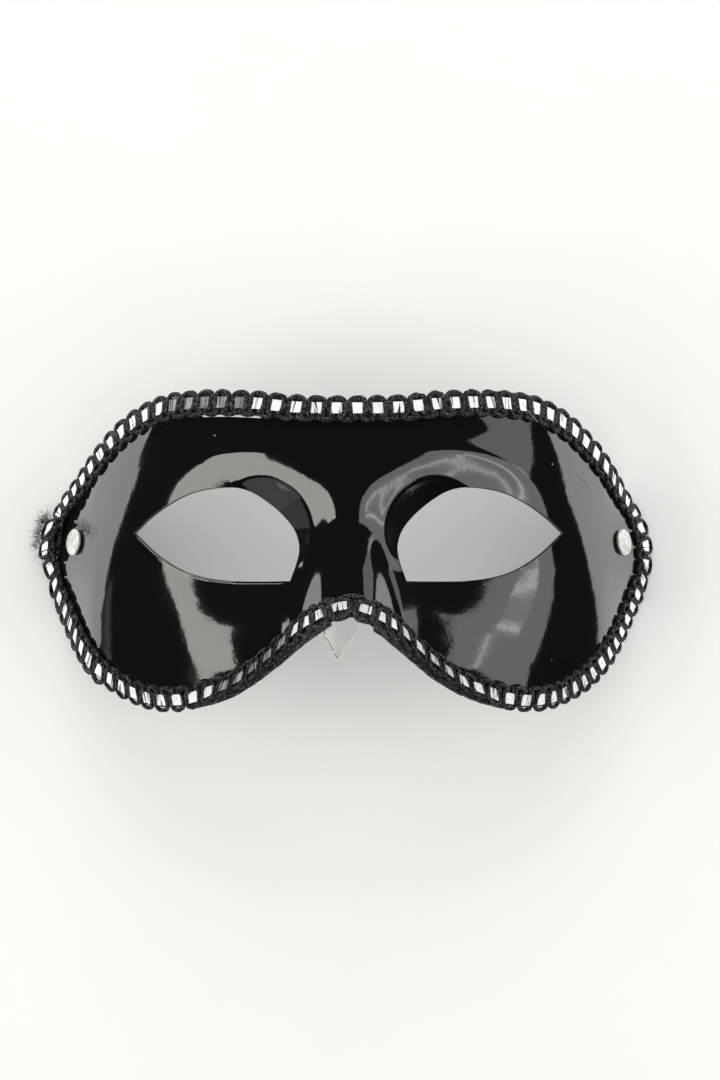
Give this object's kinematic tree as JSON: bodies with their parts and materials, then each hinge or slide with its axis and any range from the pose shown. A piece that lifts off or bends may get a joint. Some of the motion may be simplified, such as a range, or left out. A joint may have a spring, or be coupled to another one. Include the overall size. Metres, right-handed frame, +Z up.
{
  "type": "eye mask",
  "caption": "Glossy black half mask with almond eye holes, a black and silver gimp braid round its edge and a silver cap rivet at each temple.",
  "frame": {"origin": "on the surface that the mask lies on, under the middle of its box", "axes": "+X to the right of somebody who looks at the face, +Y towards the forehead, +Z up, out of the face"},
  "size_m": [0.179, 0.0902, 0.0624],
  "materials": {
    "black_gloss_plastic": "mirror gloss black, a clear film over a black backing",
    "black_cord": "matt black wrapped gimp cord",
    "silver_foil": "crinkled bright silver foil",
    "rivet_metal": "scratched nickel-plated cap",
    "clear_film": "clear plastic film"
  },
  "bodies": {
    "root": {"shell": "black_gloss_plastic", "braid": "black_cord", "foil_strip": "silver_foil", "rivet_left": "rivet_metal", "rivet_right": "rivet_metal", "clear_tab": "clear_film"}
  },
  "joints": []
}
